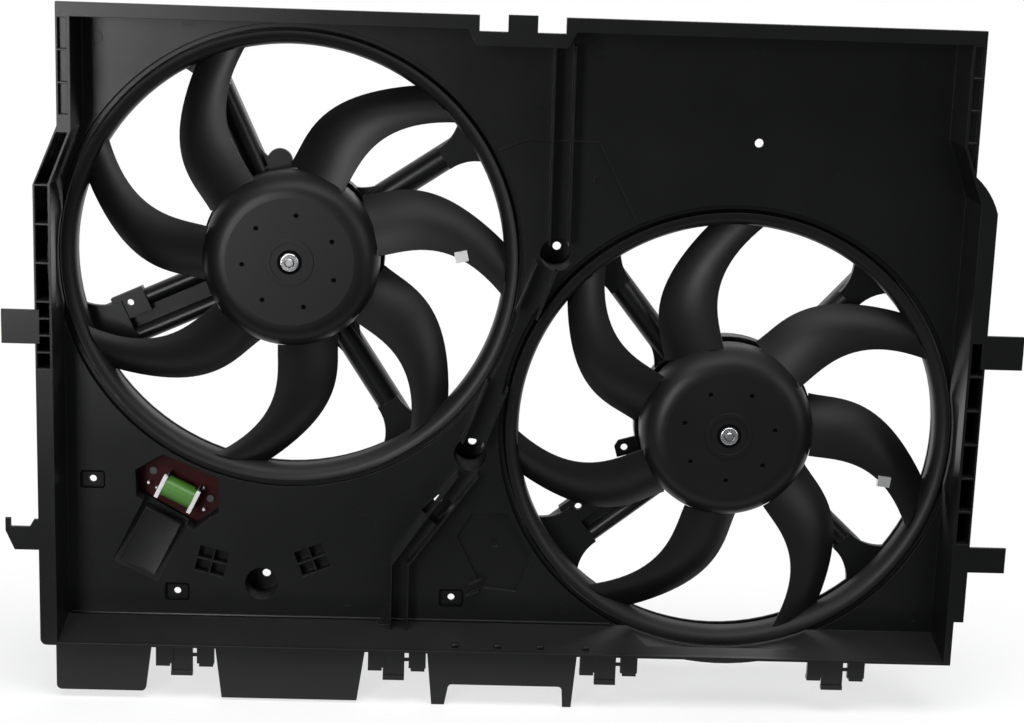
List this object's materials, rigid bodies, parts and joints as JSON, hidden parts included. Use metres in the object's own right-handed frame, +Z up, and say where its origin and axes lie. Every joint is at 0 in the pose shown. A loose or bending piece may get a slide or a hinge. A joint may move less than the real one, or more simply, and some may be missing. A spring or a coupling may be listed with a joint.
{
  "type": "radiator fan shroud",
  "caption": "Moulded shroud that ducts a radiator's air to two side-by-side motor fans on strut carriers, with a speed resistor in its plate",
  "frame": {"origin": "on the seating face of the bottom rim, midway between the two fan axes", "axes": "+X to the right as seen from the radiator, +Y away from the radiator toward the engine, +Z up"},
  "size_m": [0.923, 0.162, 0.6405],
  "materials": {
    "shroud_plastic": "moulded filled nylon, black, fine eroded grain",
    "fan_plastic": "moulded filled nylon, black",
    "insert_metal": "turned light alloy",
    "shaft_steel": "ground steel",
    "ring_steel": "stamped spring steel",
    "clip_steel": "zinc-plated spring steel",
    "can_paint": "black electro-coated steel",
    "bearing_steel": "ground bearing steel",
    "cap_alloy": "pressed and zinc-plated, dull",
    "ferrite": "sintered ferrite",
    "lamination": "stacked electrical steel",
    "copper": "enamelled copper wire",
    "commutator_copper": "copper bars",
    "card_plastic": "brown phenolic card with carbon brushes",
    "bracket_steel": "zinc-plated steel plate",
    "screw_steel": "zinc-plated steel",
    "connector_plastic": "moulded black plastic",
    "board_laminate": "maroon laminate board",
    "core_coating": "green fired coating",
    "end_clip_steel": "bright plated spring steel"
  },
  "bodies": {
    "shroud_assembly": {"shroud": "shroud_plastic", "motor_can_left": "can_paint", "bearing_front_left": "bearing_steel", "bearing_rear_left": "bearing_steel", "motor_end_cap_left": "cap_alloy", "magnets_left": "ferrite", "brush_card_left": "card_plastic", "motor_bracket_left": "bracket_steel", "motor_screws_left": "screw_steel", "motor_connector_left": "connector_plastic", "motor_can_right": "can_paint", "bearing_front_right": "bearing_steel", "bearing_rear_right": "bearing_steel", "motor_end_cap_right": "cap_alloy", "magnets_right": "ferrite", "brush_card_right": "card_plastic", "motor_bracket_right": "bracket_steel", "motor_screws_right": "screw_steel", "motor_connector_right": "connector_plastic", "resistor_board": "board_laminate", "resistor_core": "core_coating", "resistor_clips": "end_clip_steel", "resistor_screws": "screw_steel", "resistor_connector": "connector_plastic"},
    "rotor_left": {"fan_left": "fan_plastic", "hub_insert_left": "insert_metal", "shaft_left": "shaft_steel", "shaft_lock_ring_left": "ring_steel", "balance_clip_left": "clip_steel", "armature_left": "lamination", "windings_left": "copper", "commutator_left": "commutator_copper"},
    "rotor_right": {"fan_right": "fan_plastic", "hub_insert_right": "insert_metal", "shaft_right": "shaft_steel", "shaft_lock_ring_right": "ring_steel", "balance_clip_right": "clip_steel", "armature_right": "lamination", "windings_right": "copper", "commutator_right": "commutator_copper"}
  },
  "joints": [
    {"name": "fan_left_spin", "type": "hinge", "parent": "shroud_assembly", "child": "rotor_left", "pos_m": [-0.2064, 0.07, 0.358], "axis": [0, 1, 0], "continuous": true},
    {"name": "fan_right_spin", "type": "hinge", "parent": "shroud_assembly", "child": "rotor_right", "pos_m": [0.2064, 0.07, 0.205], "axis": [0, 1, 0], "continuous": true}
  ]
}
